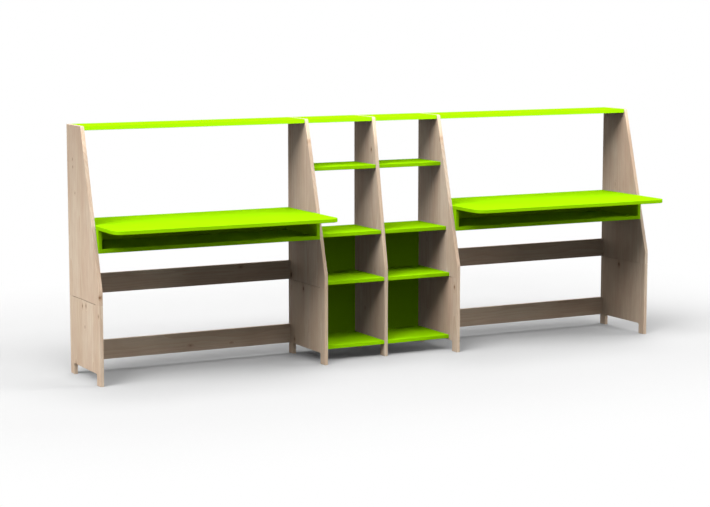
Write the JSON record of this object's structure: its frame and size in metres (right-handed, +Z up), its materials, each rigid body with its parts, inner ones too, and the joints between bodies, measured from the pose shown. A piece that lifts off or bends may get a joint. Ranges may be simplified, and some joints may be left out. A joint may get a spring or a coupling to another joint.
{
  "type": "double desk",
  "caption": "Double desk for two people side by side, with an open shelf unit between the work places, a shelf along the top and an open pencil box under each desktop.",
  "frame": {"origin": "on the floor, in the middle of the desk's length and depth", "axes": "+X along the length to the right as seen from the front, the front faces -Y, +Z up"},
  "size_m": [3, 0.565, 1.159],
  "materials": {
    "pine": "clear matt lacquer on pine",
    "lime_lacquer": "lime green satin lacquer on board",
    "beech": "fluted beech dowel",
    "zinc": "die-cast zinc alloy",
    "steel": "bright zinc-plated steel"
  },
  "bodies": {
    "root": {"left_end_lower": "pine", "left_end_upper": "pine", "left_inner_lower": "pine", "left_inner_upper": "pine", "divider_lower": "pine", "divider_upper": "pine", "right_inner_lower": "pine", "right_inner_upper": "pine", "right_end_lower": "pine", "right_end_upper": "pine", "left_upper_rail": "pine", "left_lower_rail": "pine", "right_upper_rail": "pine", "right_lower_rail": "pine", "left_desk_top_shelf": "lime_lacquer", "left_desktop": "lime_lacquer", "left_box_bottom": "lime_lacquer", "left_box_back": "lime_lacquer", "left_box_left_side": "lime_lacquer", "left_box_right_side": "lime_lacquer", "left_column_top_shelf": "lime_lacquer", "left_column_upper_shelf": "lime_lacquer", "left_column_middle_shelf": "lime_lacquer", "left_column_lower_shelf": "lime_lacquer", "left_column_bottom_shelf": "lime_lacquer", "left_column_upper_back": "lime_lacquer", "left_column_lower_back": "lime_lacquer", "right_desk_top_shelf": "lime_lacquer", "right_desktop": "lime_lacquer", "right_box_bottom": "lime_lacquer", "right_box_back": "lime_lacquer", "right_box_left_side": "lime_lacquer", "right_box_right_side": "lime_lacquer", "right_column_top_shelf": "lime_lacquer", "right_column_upper_shelf": "lime_lacquer", "right_column_middle_shelf": "lime_lacquer", "right_column_lower_shelf": "lime_lacquer", "right_column_bottom_shelf": "lime_lacquer", "right_column_upper_back": "lime_lacquer", "right_column_lower_back": "lime_lacquer", "seam_dowels": "beech", "shelf_dowels": "beech", "rail_dowels": "beech", "box_dowels": "beech", "cam_locks": "zinc", "cam_bolts": "steel", "box_side_screws": "steel", "box_bottom_screws": "steel"}
  },
  "joints": []
}
